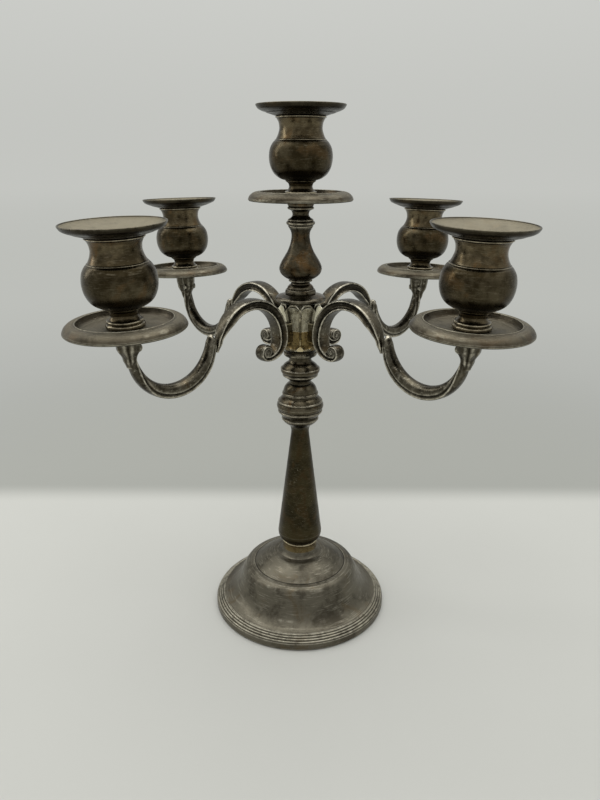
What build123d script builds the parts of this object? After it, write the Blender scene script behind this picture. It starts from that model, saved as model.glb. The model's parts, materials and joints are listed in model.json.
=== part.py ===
from build123d import *
import os
from math import cos, radians, sin

# Four-branch, five-light table candelabrum. Millimetres, +Z up.
# The origin is on the supporting surface, on the axis of the stem.
# The branches point along +X, +Y, -X and -Y.

# ---------------------------------------------------------------- driving dimensions
# Stack of pieces along the stem axis (heights above the supporting surface)
pad_top_z = 1.0
plate_top_z = 2.0
shell_edge_z = 0.3
crown_z = 40.6
collar_top_z = 51.3
column_top_z = 138.6
lower_knop_top_z = 170.6
upper_knop_top_z = 186.8
hub_seat_z = 189.0
hub_top_z = 225.6
cap_top_z = 230.9
spool_top_z = 240.1
baluster_top_z = 272.6
ring_top_z = 277.4
centre_light_z = 287.0

# Foot
foot_r = 62.0
shell_wall = 1.4
reed_count = 3
pad_r = 58.0
plate_r = 58.4
shell_mouth_r = 60.0
weight_bore_r = 10.0
weight_bore_top_z = 9.5

# Rods, nut and washer
tie_rod_r = 3.0
tie_clear_r = 3.1
tie_thread_r = 3.05
tie_rod_foot_z = 2.6
tie_rod_top_z = 200.0
nut_across_flats = 10.0
nut_height = 5.0
washer_r = 9.0
washer_thickness = 1.4
stud_r = 2.5
stud_clear_r = 2.65
stud_thread_r = 2.55
centre_rod_foot_z = 217.0

# Turning joint between stem and branches
spigot_r = 5.0
spigot_top_z = 213.6
spigot_flange_r = 7.45
running_clearance = 0.05

# Hub
hub_side_count = 8
hub_step_z = 208.0
hub_ring_top_z = 196.0
hub_lip = 1.6
tenon_end_r = 8.5
tenon_width = 5.6
tenon_foot_z = 200.5
tenon_height = 13.0
tenon_gap = 0.05

# Branch: centres and radii of the C-scroll and of the U-shaped arm (x outward, z up)
branch_count = 4
branch_reach = 127.5
branch_light_z = 227.6
light_tilt = 2.5
scroll_centre = (42.4, 205.8)
scroll_outer_r = 27.0
scroll_inner_r = 20.5
curl_centre_x = 28.6
curl_end = 262
tongue_start = 42
tongue_thinning = 2.8
volute_centre = (31.2, 197.9)
volute_r = 5.6
arm_outer_centre = (99.0, 213.8)
arm_outer_r = 29.3
arm_inner_centre = (99.7, 217.0)
arm_inner_r = 24.1
arm_start = 190
arm_end = 363
knuckle_centre = (70.8, 212.2)
knuckle_r = 3.7
knuckle_width = 7.2
scroll_width = 9.4
volute_width = 7.4
arm_width = 8.8
arm_round = 3.2
panel_margin = 1.4
panel_depth = 0.7
panel_start = 194
panel_end = 345
tip_foot_z = -17.0
tip_foot_r = 3.6
tip_waist = (6.4, -9.0)
tip_top_r = 7.4

# Light: heights above its datum, which is just below the drip pan
pan_r = 32.8
pan_wall = 1.2
pan_floor_z = 2.8
pan_edge_z = 1.4
pan_ridge_r = 25.5
pan_ridge_z = 7.0
dish_r = 22.4
pan_seat_z = pan_floor_z - pan_wall
socket_foot_r = 10.5
socket_top_z = 49.7
socket_floor_z = 15.4
neck_r = 13.0
lip_r = 15.3
bulb_r = 19.35
candle_r = 11.3
nozzle_tube_r = 12.2
nozzle_foot_z = 24.0
nozzle_floor_z = 25.0
nozzle_mouth_z = 50.4
nozzle_rim_r = 27.0
nozzle_rim_z = 56.2
stud_foot_z = -8.0
stud_top_z = 12.5


def save(part, label):
    """Label one finished piece and write it as one STEP file."""
    part.label = label
    export_step(part, "parts/" + label + ".step")


def radial_plane(angle):
    """Vertical plane through the stem axis: local x points outward at angle, local y points up."""
    outward = Vector(cos(radians(angle)), sin(radians(angle)), 0)
    across = Vector(sin(radians(angle)), -cos(radians(angle)), 0)
    return Plane(origin=(0, 0, 0), x_dir=outward, z_dir=across)


def light_plane(angle):
    """Plane that holds the axis of the light on the branch at angle; its origin is the light's datum."""
    branch = radial_plane(angle)
    lean = radians(light_tilt)
    up = branch.x_dir * sin(lean) + Vector(0, 0, 1) * cos(lean)
    outward = branch.x_dir * cos(lean) - Vector(0, 0, 1) * sin(lean)
    datum = branch.x_dir * branch_reach + Vector(0, 0, branch_light_z)
    return Plane(origin=datum, x_dir=outward, z_dir=outward.cross(up))


def light_axis(plane):
    return Axis(plane.origin, plane.y_dir)


def point_on(centre, radius, angle):
    return (centre[0] + radius * cos(radians(angle)), centre[1] + radius * sin(radians(angle)))


def arc_on(centre, radius, start, stop):
    """Arc about centre from the start angle to the stop angle, in degrees."""
    middle = point_on(centre, radius, (start + stop) / 2)
    return ThreePointArc(point_on(centre, radius, start), middle, point_on(centre, radius, stop))


os.makedirs("parts", exist_ok=True)

# ---------------------------------------------------------------- foot
with BuildPart() as baize_pad:
    with BuildSketch():
        Circle(pad_r)
    extrude(amount=pad_top_z)
save(baize_pad.part, "baize_pad")

with BuildPart() as base_plate:
    with BuildSketch(Plane.XY.offset(pad_top_z)):
        Circle(plate_r)
    extrude(amount=plate_top_z - pad_top_z)
save(base_plate.part, "base_plate")

# The shell is one sheet: flat crown, upper dome, narrow ledge, ogee and sloping border.
dome_edge = (32.8, 33.2)
ledge_edge = (35.8, 32.3)
border_top = (56.4, 7.2)
border_foot = (60.8, 2.2)
inner_dome_edge = (31.8, 32.2)
inner_ledge_edge = (35.1, 31.1)
inner_border_top = (55.6, 5.9)
reed_r = 0.75
with BuildPart() as foot_shell:
    with BuildSketch(Plane.XZ):
        with BuildLine():
            Line((tie_clear_r, crown_z), (16.8, crown_z))
            ThreePointArc((16.8, crown_z), (25.6, 38.0), dome_edge)
            Line(dome_edge, ledge_edge)
            Spline(ledge_edge, (40.4, 28.9), (43.8, 21.4), (49.4, 11.2), border_top)
            Line(border_top, border_foot)
            ThreePointArc(border_foot, (foot_r - 0.2, 1.6), (foot_r, shell_edge_z))
            Line((foot_r, shell_edge_z), (shell_mouth_r, shell_edge_z))
            Line((shell_mouth_r, shell_edge_z), inner_border_top)
            Spline(inner_border_top, (48.4, 10.2), (42.5, 20.9), (39.3, 27.9), inner_ledge_edge)
            Line(inner_ledge_edge, inner_dome_edge)
            ThreePointArc(inner_dome_edge, (25.0, 36.6), (16.4, crown_z - shell_wall))
            Line((16.4, crown_z - shell_wall), (tie_clear_r, crown_z - shell_wall))
            Line((tie_clear_r, crown_z - shell_wall), (tie_clear_r, crown_z))
        make_face()
        for i in range(reed_count):
            t = (i + 0.5) / reed_count
            with Locations((border_top[0] + t * (border_foot[0] - border_top[0]),
                            border_top[1] + t * (border_foot[1] - border_top[1]))):
                Circle(reed_r)
    revolve(axis=Axis.Z)
save(foot_shell.part, "foot_shell")

# Cast ballast below the shell; the counterbore holds the washer and the nut.
with BuildPart() as base_weight:
    with BuildSketch(Plane.XZ):
        with BuildLine():
            Polyline(
                (tie_clear_r, weight_bore_top_z),
                (weight_bore_r, weight_bore_top_z),
                (weight_bore_r, plate_top_z),
                (54.0, plate_top_z),
                (46.0, 9.0),
                (39.6, 20.0),
                (36.0, 28.0),
                (28.0, 31.5),
                (14.0, 36.0),
                (14.0, crown_z - shell_wall),
                (tie_clear_r, crown_z - shell_wall),
                close=True,
            )
        make_face()
    revolve(axis=Axis.Z)
save(base_weight.part, "base_weight")

with BuildPart() as rod_washer:
    with BuildSketch(Plane.XY.offset(weight_bore_top_z - washer_thickness)):
        Circle(washer_r)
        Circle(tie_clear_r, mode=Mode.SUBTRACT)
    extrude(amount=washer_thickness)
save(rod_washer.part, "rod_washer")

with BuildPart() as rod_nut:
    with BuildSketch(Plane.XY.offset(weight_bore_top_z - washer_thickness - nut_height)):
        RegularPolygon(nut_across_flats / 2, 6, major_radius=False)
        Circle(tie_thread_r, mode=Mode.SUBTRACT)
    extrude(amount=nut_height)
save(rod_nut.part, "rod_nut")

with BuildPart() as tie_rod:
    with BuildSketch(Plane.XY.offset(tie_rod_foot_z)):
        Circle(tie_rod_r)
    extrude(amount=tie_rod_top_z - tie_rod_foot_z)
save(tie_rod.part, "tie_rod")

# ---------------------------------------------------------------- stem
# Short ring with a hollow flare onto the crown and a bead below the column.
with BuildPart() as stem_collar:
    with BuildSketch(Plane.XZ):
        with BuildLine():
            Line((tie_clear_r, crown_z), (16.8, crown_z))
            ThreePointArc((16.8, crown_z), (13.5, 42.6), (12.1, 46.2))
            Line((12.1, 46.2), (12.1, 49.9))
            ThreePointArc((12.1, 49.9), (12.8, 50.6), (12.1, collar_top_z))
            Line((12.1, collar_top_z), (tie_clear_r, collar_top_z))
            Line((tie_clear_r, collar_top_z), (tie_clear_r, crown_z))
        make_face()
    revolve(axis=Axis.Z)
save(stem_collar.part, "stem_collar")

# Hollow tapering column; both ends are solid around the rod.
column_belly = (15.6, 57.8)
column_neck = (6.1, 134.6)
with BuildPart() as stem_column:
    with BuildSketch(Plane.XZ):
        with BuildLine():
            Line((tie_clear_r, collar_top_z), (12.3, collar_top_z))
            ThreePointArc((12.3, collar_top_z), (14.8, 53.9), column_belly)
            Line(column_belly, column_neck)
            ThreePointArc(column_neck, (6.15, 136.6), (6.7, column_top_z))
            Line((6.7, column_top_z), (tie_clear_r, column_top_z))
            Line((tie_clear_r, column_top_z), (tie_clear_r, collar_top_z))
        make_face()
        with BuildLine():
            Polyline((tie_clear_r, 54.5), (11.5, 54.5), (13.7, 58.5), (5.0, 128.0), (tie_clear_r, 130.0),
                     close=True)
        make_face(mode=Mode.SUBTRACT)
    revolve(axis=Axis.Z)
save(stem_column.part, "stem_column")

# Collar below, big reeded bulb, ring and cone above.
bulb_centre = (8.3, 154.0)
bulb_curve_r = 7.1
bulb_reed_r = 0.7
with BuildPart() as lower_knop:
    with BuildSketch(Plane.XZ):
        with BuildLine():
            Line((tie_clear_r, column_top_z), (6.7, column_top_z))
            ThreePointArc((6.7, column_top_z), (8.4, 141.2), (11.5, 143.4))
            ThreePointArc((11.5, 143.4), (12.4, 145.2), (11.5, 146.6))
            ThreePointArc((11.5, 146.6), (15.5, 154.0), (11.6, 161.2))
            ThreePointArc((11.6, 161.2), (12.2, 163.5), (11.0, 165.6))
            ThreePointArc((11.0, 165.6), (10.6, 168.3), (7.6, lower_knop_top_z))
            Line((7.6, lower_knop_top_z), (tie_clear_r, lower_knop_top_z))
            Line((tie_clear_r, lower_knop_top_z), (tie_clear_r, column_top_z))
        make_face()
        for angle in (-28, -8, 12, 32):
            with Locations(point_on(bulb_centre, bulb_curve_r, angle)):
                Circle(bulb_reed_r)
    revolve(axis=Axis.Z)
save(lower_knop.part, "lower_knop")

with BuildPart() as upper_knop:
    with BuildSketch(Plane.XZ):
        with BuildLine():
            Line((tie_clear_r, lower_knop_top_z), (7.5, lower_knop_top_z))
            Line((7.5, lower_knop_top_z), (7.5, 172.6))
            Spline((7.5, 172.6), (11.4, 175.8), (13.2, 179.3), (11.2, 182.9), (7.4, upper_knop_top_z))
            Line((7.4, upper_knop_top_z), (tie_clear_r, upper_knop_top_z))
            Line((tie_clear_r, upper_knop_top_z), (tie_clear_r, lower_knop_top_z))
        make_face()
    revolve(axis=Axis.Z)
save(upper_knop.part, "upper_knop")

# The spigot screws onto the tie rod; its flange clamps the stem and carries the hub.
with BuildPart() as stem_spigot:
    with BuildSketch(Plane.XY.offset(upper_knop_top_z)):
        Circle(spigot_flange_r)
    extrude(amount=hub_seat_z - upper_knop_top_z)
    with BuildSketch(Plane.XY.offset(hub_seat_z)):
        Circle(spigot_r)
    extrude(amount=spigot_top_z - hub_seat_z)
    with BuildSketch(Plane.XY.offset(upper_knop_top_z)):
        Circle(tie_thread_r)
    extrude(amount=tie_rod_top_z + 2 - upper_knop_top_z, mode=Mode.SUBTRACT)
    chamfer(stem_spigot.edges().filter_by(GeomType.CIRCLE).sort_by(Axis.Z)[-1], 0.8)
save(stem_spigot.part, "stem_spigot")

# ---------------------------------------------------------------- branch unit
# Faceted vase on a round ring; the facets stand nearly upright below the step and flare above it.
with BuildPart() as hub:
    with BuildSketch(Plane.XZ):
        with BuildLine():
            Line((0, hub_seat_z), (8.4, hub_seat_z))
            ThreePointArc((8.4, hub_seat_z), (10.8, 190.8), (9.4, 192.9))
            ThreePointArc((9.4, 192.9), (9.7, 194.6), (10.6, hub_ring_top_z))
            Line((10.6, hub_ring_top_z), (0, hub_ring_top_z))
            Line((0, hub_ring_top_z), (0, hub_seat_z))
        make_face()
    revolve(axis=Axis.Z)
    for foot_z, foot_size, top_z, top_size in (
        (hub_ring_top_z, 11.3, hub_step_z, 11.8),
        (hub_step_z, 12.2, hub_top_z - hub_lip, 15.0),
        (hub_top_z - hub_lip, 15.0, hub_top_z, 15.0),
    ):
        with BuildSketch(Plane.XY.offset(foot_z)):
            RegularPolygon(foot_size, hub_side_count)
        with BuildSketch(Plane.XY.offset(top_z)):
            RegularPolygon(top_size, hub_side_count)
        loft(ruled=True)
    with BuildSketch(Plane.XY.offset(hub_seat_z)):
        Circle(spigot_r + running_clearance)
    extrude(amount=spigot_top_z + 1 - hub_seat_z, mode=Mode.SUBTRACT)
    with BuildSketch(Plane.XY.offset(centre_rod_foot_z - 0.5)):
        Circle(stud_thread_r)
    extrude(amount=hub_top_z - centre_rod_foot_z + 0.5, mode=Mode.SUBTRACT)
    for i in range(branch_count):
        face = radial_plane(i * 360 / branch_count).x_dir
        middle = Vector(0, 0, tenon_foot_z + tenon_height / 2)
        with BuildSketch(Plane(origin=face * (tenon_end_r - tenon_gap) + middle, x_dir=(0, 0, 1), z_dir=face)):
            Rectangle(tenon_height + 2 * tenon_gap, tenon_width + 2 * tenon_gap)
        extrude(amount=10, mode=Mode.SUBTRACT)
save(hub.part, "hub")

with BuildPart() as hub_cap:
    with BuildSketch(Plane.XZ):
        with BuildLine():
            Line((stud_clear_r, hub_top_z), (14.8, hub_top_z))
            Spline((14.8, hub_top_z), (16.3, 227.4), (15.4, 229.3), (12.6, 230.5), (10.4, cap_top_z))
            Line((10.4, cap_top_z), (stud_clear_r, cap_top_z))
            Line((stud_clear_r, cap_top_z), (stud_clear_r, hub_top_z))
        make_face()
    revolve(axis=Axis.Z)
save(hub_cap.part, "hub_cap")

with BuildPart() as centre_spool:
    with BuildSketch(Plane.XZ):
        with BuildLine():
            Line((stud_clear_r, cap_top_z), (9.6, cap_top_z))
            Line((9.6, cap_top_z), (9.9, 231.6))
            Line((9.9, 231.6), (9.4, 233.6))
            Spline((9.4, 233.6), (8.1, 235.3), (6.6, 237.0), (6.0, 238.3))
            ThreePointArc((6.0, 238.3), (6.9, 238.9), (7.6, spool_top_z))
            Line((7.6, spool_top_z), (stud_clear_r, spool_top_z))
            Line((stud_clear_r, spool_top_z), (stud_clear_r, cap_top_z))
        make_face()
    revolve(axis=Axis.Z)
save(centre_spool.part, "centre_spool")

with BuildPart() as centre_baluster:
    with BuildSketch(Plane.XZ):
        with BuildLine():
            Line((stud_clear_r, spool_top_z), (7.6, spool_top_z))
            Spline((7.6, spool_top_z), (12.2, 243.4), (13.6, 247.5), (10.8, 253.4), (6.6, 261.4),
                   (5.8, 266.5), (7.7, baluster_top_z))
            Line((7.7, baluster_top_z), (stud_clear_r, baluster_top_z))
            Line((stud_clear_r, baluster_top_z), (stud_clear_r, spool_top_z))
        make_face()
    revolve(axis=Axis.Z)
save(centre_baluster.part, "centre_baluster")

with BuildPart() as centre_ring:
    with BuildSketch(Plane.XZ):
        with BuildLine():
            Line((stud_clear_r, baluster_top_z), (8.0, baluster_top_z))
            ThreePointArc((8.0, baluster_top_z), (9.3, 275.0), (8.1, ring_top_z))
            Line((8.1, ring_top_z), (stud_clear_r, ring_top_z))
            Line((stud_clear_r, ring_top_z), (stud_clear_r, baluster_top_z))
        make_face()
    revolve(axis=Axis.Z)
save(centre_ring.part, "centre_ring")

centre_seat_z = centre_light_z + pan_seat_z
with BuildPart() as centre_neck:
    with BuildSketch(Plane.XZ):
        with BuildLine():
            Line((stud_clear_r, ring_top_z), (8.0, ring_top_z))
            ThreePointArc((8.0, ring_top_z), (5.2, 280.4), (7.8, 283.4))
            ThreePointArc((7.8, 283.4), (8.4, 284.2), (7.9, 285.0))
            Line((7.9, 285.0), (8.6, centre_seat_z))
            Line((8.6, centre_seat_z), (stud_clear_r, centre_seat_z))
            Line((stud_clear_r, centre_seat_z), (stud_clear_r, ring_top_z))
        make_face()
    revolve(axis=Axis.Z)
save(centre_neck.part, "centre_neck")

with BuildPart() as centre_rod:
    with BuildSketch(Plane.XY.offset(centre_rod_foot_z)):
        Circle(stud_r)
    extrude(amount=centre_light_z + stud_top_z - centre_rod_foot_z)
save(centre_rod.part, "centre_rod")


def scroll_outline(inset):
    """C-scroll without its volute: an arch that tapers to a tongue at one end and curls in at the other."""
    curl_centre = (curl_centre_x, scroll_centre[1])
    curl_outer_r = curl_centre[0] - (scroll_centre[0] - scroll_outer_r) - inset
    curl_inner_r = curl_centre[0] - (scroll_centre[0] - scroll_inner_r) + inset
    outer_r = scroll_outer_r - inset
    inner_r = scroll_inner_r + inset
    tongue_end = 5 * inset
    with BuildSketch() as outline:
        with BuildLine():
            arc_on(scroll_centre, outer_r, tongue_end, 180)
            arc_on(curl_centre, curl_outer_r, 180, curl_end)
            Line(point_on(curl_centre, curl_outer_r, curl_end), point_on(curl_centre, curl_inner_r, curl_end))
            arc_on(curl_centre, curl_inner_r, curl_end, 180)
            arc_on(scroll_centre, inner_r, 180, tongue_start)
            ThreePointArc(point_on(scroll_centre, inner_r, tongue_start),
                          point_on(scroll_centre, inner_r + tongue_thinning * (1 - inset / 4), tongue_start / 2),
                          point_on(scroll_centre, outer_r, tongue_end))
        make_face()
    return outline.sketch


def arm_outline(outer_inset, inner_inset, start, stop):
    """Crescent between two circles whose centres differ, so the arm is deepest at the bottom."""
    with BuildSketch() as outline:
        with BuildLine():
            outer = arc_on(arm_outer_centre, arm_outer_r - outer_inset, start, stop)
            inner = arc_on(arm_inner_centre, arm_inner_r + inner_inset, stop, start)
            Line(outer @ 1, inner @ 0)
            Line(inner @ 1, outer @ 0)
        make_face()
    return outline.sketch


def build_branch(angle):
    """One cast branch: tenon, C-scroll with volute, knuckle, U-shaped arm and leaf tip below the pan."""
    plane = radial_plane(angle)
    tip = light_plane(angle)
    with BuildPart() as branch:
        with BuildSketch(plane):
            add(arm_outline(0, 0, arm_start, arm_end))
        extrude(amount=arm_width / 2, both=True)
        arm_edges = branch.edges().filter_by(GeomType.CIRCLE)
        fillet(arm_edges.filter_by(lambda edge: abs(edge.radius - arm_inner_r) < 0.01), arm_round)
        with BuildSketch(plane):
            with Locations(knuckle_centre):
                Circle(knuckle_r)
        extrude(amount=knuckle_width / 2, both=True)
        for side in (1, -1):
            with BuildSketch(plane.offset(side * (arm_width / 2 - panel_depth))):
                add(arm_outline(panel_margin, arm_round, panel_start, panel_end))
            extrude(amount=side * 2, mode=Mode.SUBTRACT)
        with BuildSketch(plane):
            add(scroll_outline(0))
        extrude(amount=scroll_width / 2, both=True)
        for side in (1, -1):
            with BuildSketch(plane.offset(side * (scroll_width / 2 - panel_depth))):
                add(scroll_outline(panel_margin))
            extrude(amount=side * 2, mode=Mode.SUBTRACT)
        with BuildSketch(plane):
            with Locations(volute_centre):
                Circle(volute_r)
        extrude(amount=volute_width / 2, both=True)
        with BuildSketch(tip):
            with BuildLine():
                Line((0, tip_foot_z), (tip_foot_r, tip_foot_z))
                Spline((tip_foot_r, tip_foot_z), tip_waist, (tip_top_r, 0.6))
                Line((tip_top_r, 0.6), (tip_top_r, pan_seat_z))
                Line((tip_top_r, pan_seat_z), (0, pan_seat_z))
                Line((0, pan_seat_z), (0, tip_foot_z))
            make_face()
        revolve(axis=light_axis(tip))
        tenon_middle = Vector(0, 0, tenon_foot_z + tenon_height / 2)
        with BuildSketch(Plane(origin=plane.x_dir * tenon_end_r + tenon_middle, x_dir=(0, 0, 1),
                               z_dir=plane.x_dir)):
            Rectangle(tenon_height, tenon_width)
        extrude(until=Until.NEXT)
        with BuildSketch(Plane(origin=tip.origin + tip.y_dir * stud_foot_z, z_dir=tip.y_dir)):
            Circle(stud_thread_r)
        extrude(amount=pan_seat_z - stud_foot_z, mode=Mode.SUBTRACT)
    return branch.part


def build_stud(angle):
    tip = light_plane(angle)
    with BuildPart() as stud:
        with BuildSketch(Plane(origin=tip.origin + tip.y_dir * (stud_foot_z + 0.3), z_dir=tip.y_dir)):
            Circle(stud_r)
        extrude(amount=stud_top_z - stud_foot_z - 0.3)
    return stud.part


def build_pan(plane):
    """Spun drip pan: shallow dish, fine ridge and a broad border that rolls down to a thin edge."""
    with BuildPart() as pan:
        with BuildSketch(plane):
            with BuildLine():
                Line((stud_clear_r, pan_floor_z), (dish_r, pan_floor_z))
                Spline((dish_r, pan_floor_z), (24.3, 4.2), (pan_ridge_r, pan_ridge_z))
                Line((pan_ridge_r, pan_ridge_z), (26.8, pan_ridge_z))
                Spline((26.8, pan_ridge_z), (30.2, 5.8), (32.1, 3.9), (pan_r, 2.2))
                Line((pan_r, 2.2), (pan_r - 0.7, pan_edge_z))
                Line((pan_r - 0.7, pan_edge_z), (pan_r - pan_wall, 1.9))
                Spline((pan_r - pan_wall, 1.9), (30.4, 3.6), (28.8, 4.8), (26.8, 5.6))
                Spline((26.8, 5.6), (25.2, 3.0), (dish_r + 0.3, pan_seat_z))
                Line((dish_r + 0.3, pan_seat_z), (stud_clear_r, pan_seat_z))
                Line((stud_clear_r, pan_seat_z), (stud_clear_r, pan_floor_z))
            make_face()
        revolve(axis=light_axis(plane))
    return pan.part


def build_socket(plane):
    """Vase-shaped socket: ringed foot, full bulb, ledge, waisted neck and flared lip; hollow above the foot."""
    with BuildPart() as socket:
        with BuildSketch(plane):
            with BuildLine():
                Line((stud_thread_r, pan_floor_z), (socket_foot_r, pan_floor_z))
                Line((socket_foot_r, pan_floor_z), (socket_foot_r, 5.0))
                Line((socket_foot_r, 5.0), (9.9, 5.3))
                Line((9.9, 5.3), (9.7, 6.9))
                ThreePointArc((9.7, 6.9), (7.3, 9.6), (9.2, 12.9))
                Line((9.2, 12.9), (9.3, 13.5))
                Spline((9.3, 13.5), (12.6, 14.5), (16.2, 17.0), (18.5, 21.2), (bulb_r, 26.6), (18.5, 32.2),
                       (15.8, 36.3))
                Line((15.8, 36.3), (15.0, 37.2))
                Spline((15.0, 37.2), (13.5, 40.3), (neck_r, 43.6), (13.7, 46.9), (lip_r, socket_top_z))
                Line((lip_r, socket_top_z), (nozzle_tube_r + running_clearance, socket_top_z))
                Line((nozzle_tube_r + running_clearance, socket_top_z),
                     (nozzle_tube_r + running_clearance, 39.4))
                Spline((nozzle_tube_r + running_clearance, 39.4), (14.4, 35.6), (17.2, 31.6), (18.0, 26.6),
                       (17.0, 21.3), (13.4, 17.2), (8.0, socket_floor_z))
                Line((8.0, socket_floor_z), (0, socket_floor_z))
                Line((0, socket_floor_z), (0, 13.0))
                Line((0, 13.0), (stud_thread_r, 13.0))
                Line((stud_thread_r, 13.0), (stud_thread_r, pan_floor_z))
            make_face()
        revolve(axis=light_axis(plane))
    return socket.part


def build_nozzle(plane):
    """Loose nozzle: closed tube for the candle and a wide dished rim that rests on the socket's lip."""
    with BuildPart() as nozzle:
        with BuildSketch(plane):
            with BuildLine():
                Line((0, nozzle_foot_z), (nozzle_tube_r, nozzle_foot_z))
                Line((nozzle_tube_r, nozzle_foot_z), (nozzle_tube_r, socket_top_z))
                Line((nozzle_tube_r, socket_top_z), (lip_r, socket_top_z))
                Spline((lip_r, socket_top_z), (21.4, 51.8), (25.3, 53.7), (nozzle_rim_r, nozzle_rim_z))
                Line((nozzle_rim_r, nozzle_rim_z), (nozzle_rim_r - 0.9, nozzle_rim_z))
                Spline((nozzle_rim_r - 0.9, nozzle_rim_z), (24.6, 54.6), (20.8, 52.8), (candle_r, nozzle_mouth_z))
                Line((candle_r, nozzle_mouth_z), (candle_r, nozzle_floor_z))
                Line((candle_r, nozzle_floor_z), (0, nozzle_floor_z))
                Line((0, nozzle_floor_z), (0, nozzle_foot_z))
            make_face()
        revolve(axis=light_axis(plane))
    return nozzle.part


branch_angles = [i * 360 / branch_count for i in range(branch_count)]
for i, angle in enumerate(branch_angles):
    save(build_branch(angle), "branch_" + str(i + 1))

save(Compound(children=[build_stud(angle) for angle in branch_angles]), "light_studs")

light_planes = [light_plane(angle) for angle in branch_angles]
light_planes.append(Plane(origin=(0, 0, centre_light_z), x_dir=(1, 0, 0), z_dir=(0, -1, 0)))
for i, plane in enumerate(light_planes):
    save(build_pan(plane), "drip_pan_" + str(i + 1))
    save(build_socket(plane), "socket_" + str(i + 1))
    save(build_nozzle(plane), "nozzle_" + str(i + 1))
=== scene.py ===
import json
import math

import bmesh
import bpy
import numpy as np
from mathutils import Matrix, Vector


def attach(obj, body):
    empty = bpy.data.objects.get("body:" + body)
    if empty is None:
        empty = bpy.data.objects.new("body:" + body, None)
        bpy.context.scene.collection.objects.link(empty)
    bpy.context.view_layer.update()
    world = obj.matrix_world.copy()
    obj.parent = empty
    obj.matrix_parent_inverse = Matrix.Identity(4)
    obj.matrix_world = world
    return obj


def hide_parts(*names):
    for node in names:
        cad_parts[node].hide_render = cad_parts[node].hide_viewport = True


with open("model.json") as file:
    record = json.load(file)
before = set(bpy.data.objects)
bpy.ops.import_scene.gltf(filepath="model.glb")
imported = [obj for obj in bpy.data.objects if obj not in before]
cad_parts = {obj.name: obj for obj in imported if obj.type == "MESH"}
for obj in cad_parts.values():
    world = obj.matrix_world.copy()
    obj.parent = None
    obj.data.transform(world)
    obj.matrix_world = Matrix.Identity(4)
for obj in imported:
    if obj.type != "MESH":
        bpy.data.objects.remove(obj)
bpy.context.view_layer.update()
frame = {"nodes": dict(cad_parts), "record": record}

MM = 0.001
TAU = 2 * math.pi

# ---------------------------------------------------------------- outlines and meshes (millimetres)


def smooth_run(points, steps=7):
    """Points along a smooth curve through the given points."""
    p = [np.array(q, float) for q in points]
    p = [2 * p[0] - p[1]] + p + [2 * p[-1] - p[-2]]
    out = []
    for i in range(1, len(p) - 2):
        for k in range(steps):
            t = k / steps
            out.append(0.5 * (2 * p[i] + (p[i + 1] - p[i - 1]) * t
                              + (2 * p[i - 1] - 5 * p[i] + 4 * p[i + 1] - p[i + 2]) * t ** 2
                              + (3 * p[i] - 3 * p[i + 1] + p[i + 2] - p[i - 1]) * t ** 3))
    out.append(p[-2])
    return out


def straight_run(a, b, spacing=1.2):
    a, b = np.array(a, float), np.array(b, float)
    count = max(1, int(np.linalg.norm(b - a) / spacing))
    return [a + (b - a) * k / count for k in range(count + 1)]


def outline(*runs, corner=0.28):
    """Joins runs of (radius, height) points end to end and rounds the corner between each two runs."""
    parts = [smooth_run(r) if len(r) > 2 else straight_run(*r) for r in runs]
    out = list(parts[0])
    for part in parts[1:]:
        meet = out[-1]
        back = out[-2] - meet
        ahead = part[1] - meet
        a = meet + back * min(0.45, corner / max(np.linalg.norm(back), 1e-6))
        b = meet + ahead * min(0.45, corner / max(np.linalg.norm(ahead), 1e-6))
        out[-1:] = [a, 0.25 * a + 0.5 * meet + 0.25 * b, b]
        out.extend(part[1:])
    return out


def mesh_object(name, verts, faces, crease_angle=40):
    """Mesh in millimetres with merged points, outward faces, and smooth shading except at sharp edges."""
    bm = bmesh.new()
    made = [bm.verts.new(v) for v in verts]
    for f in faces:
        bm.faces.new([made[i] for i in f])
    bmesh.ops.remove_doubles(bm, verts=bm.verts, dist=1e-4)
    bmesh.ops.dissolve_degenerate(bm, edges=bm.edges, dist=1e-5)
    bmesh.ops.recalc_face_normals(bm, faces=bm.faces)
    bmesh.ops.scale(bm, vec=(MM, MM, MM), verts=bm.verts)
    for f in bm.faces:
        f.smooth = True
    for e in bm.edges:
        if len(e.link_faces) == 2 and e.calc_face_angle(0) > math.radians(crease_angle):
            e.smooth = False
    mesh = bpy.data.meshes.new(name)
    bm.to_mesh(mesh)
    bm.free()
    mark_edges_and_hollows(mesh)
    obj = bpy.data.objects.new(name, mesh)
    bpy.context.scene.collection.objects.link(obj)
    return obj


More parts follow.
